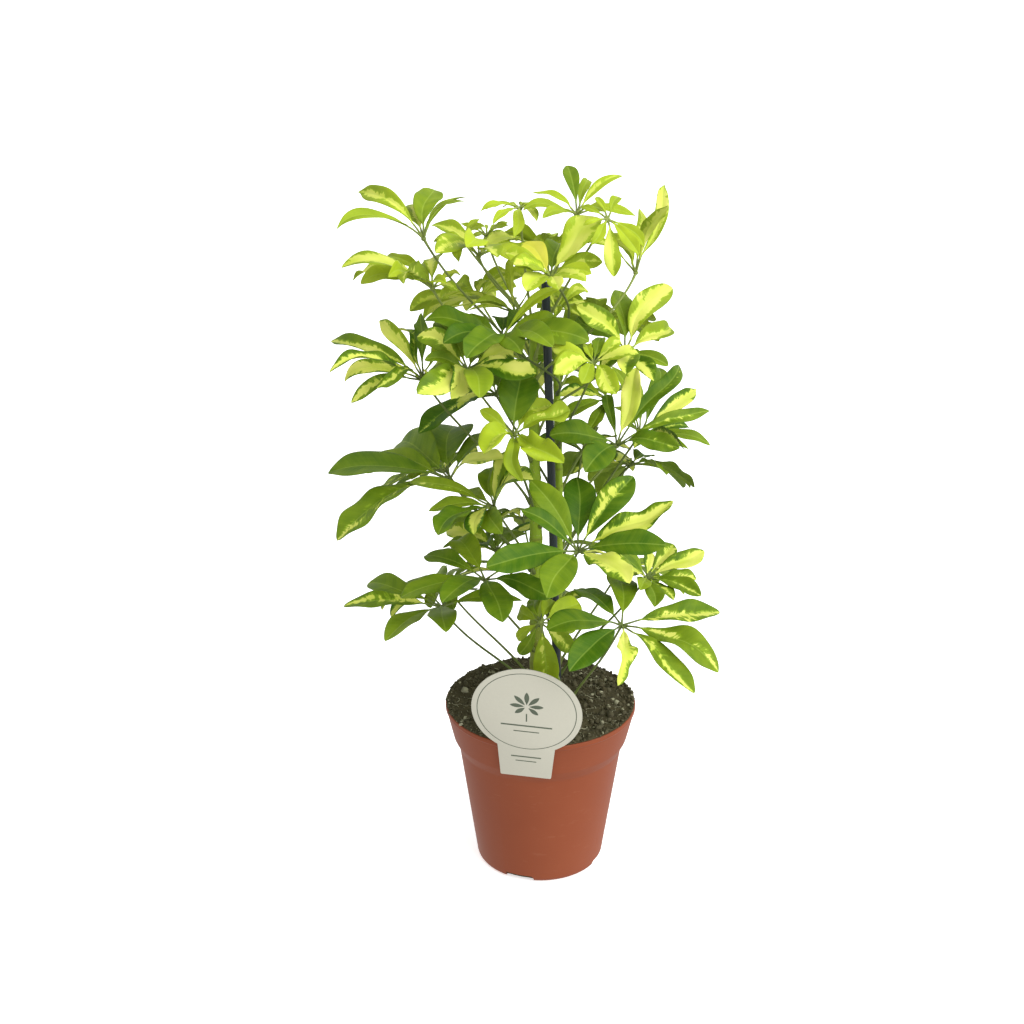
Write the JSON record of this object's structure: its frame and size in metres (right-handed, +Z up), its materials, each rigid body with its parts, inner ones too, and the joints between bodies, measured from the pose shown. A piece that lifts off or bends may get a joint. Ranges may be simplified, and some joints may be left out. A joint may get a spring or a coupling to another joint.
{
  "type": "potted umbrella plant",
  "caption": "Bushy variegated dwarf umbrella plant with palmate leaves on slim green stems and a stake, in a tapered terracotta-coloured pot with a blank round label.",
  "frame": {"origin": "centre of the pot's flat underside", "axes": "+Z up along the pot's axis; the label and the pictured front face -Y; +X to the viewer's right"},
  "size_m": [0.3362, 0.3545, 0.6285],
  "materials": {
    "pot_plastic": "satin moulded plastic, terracotta colour",
    "potting_soil": "loose dark peat with fibres",
    "stem_bark": "smooth green bark with rings",
    "stake_coating": "dark satin coating",
    "label_card": "thin satin plastic card, blank",
    "leaf": "waxy leaf, green with yellow variegation"
  },
  "bodies": {
    "root": {"label": "label_card", "leaf_arch_centre": "leaf", "leaf_back_high_left": "leaf", "leaf_back_high_right": "leaf", "leaf_back_left": "leaf", "leaf_back_low": "leaf", "leaf_back_low_left": "leaf", "leaf_back_low_right": "leaf", "leaf_back_middle": "leaf", "leaf_back_right": "leaf", "leaf_back_top": "leaf", "leaf_crown_centre": "leaf", "leaf_crown_curled": "leaf", "leaf_crown_front": "leaf", "leaf_crown_left": "leaf", "leaf_front_left": "leaf", "leaf_front_right": "leaf", "leaf_inner_left": "leaf", "leaf_left_far": "leaf", "leaf_left_inner": "leaf", "leaf_left_middle": "leaf", "leaf_left_second": "leaf", "leaf_low_arch": "leaf", "leaf_low_front": "leaf", "leaf_low_left": "leaf", "leaf_low_left_front": "leaf", "leaf_low_right": "leaf", "leaf_low_right_back": "leaf", "leaf_middle": "leaf", "leaf_middle_back": "leaf", "leaf_right_back": "leaf", "leaf_right_bright": "leaf", "leaf_right_far": "leaf", "leaf_right_high": "leaf", "leaf_right_inner": "leaf", "leaf_right_middle": "leaf", "leaf_top": "leaf", "leaf_upper_left": "leaf", "leaf_upper_right": "leaf", "leaf_young_left": "leaf", "leaf_young_middle": "leaf", "leaf_young_right": "leaf", "leaf_young_top": "leaf", "pot": "pot_plastic", "soil": "potting_soil", "stake": "stake_coating", "stem_low": "stem_bark", "stem_main": "stem_bark", "stem_side": "stem_bark"}
  },
  "joints": []
}
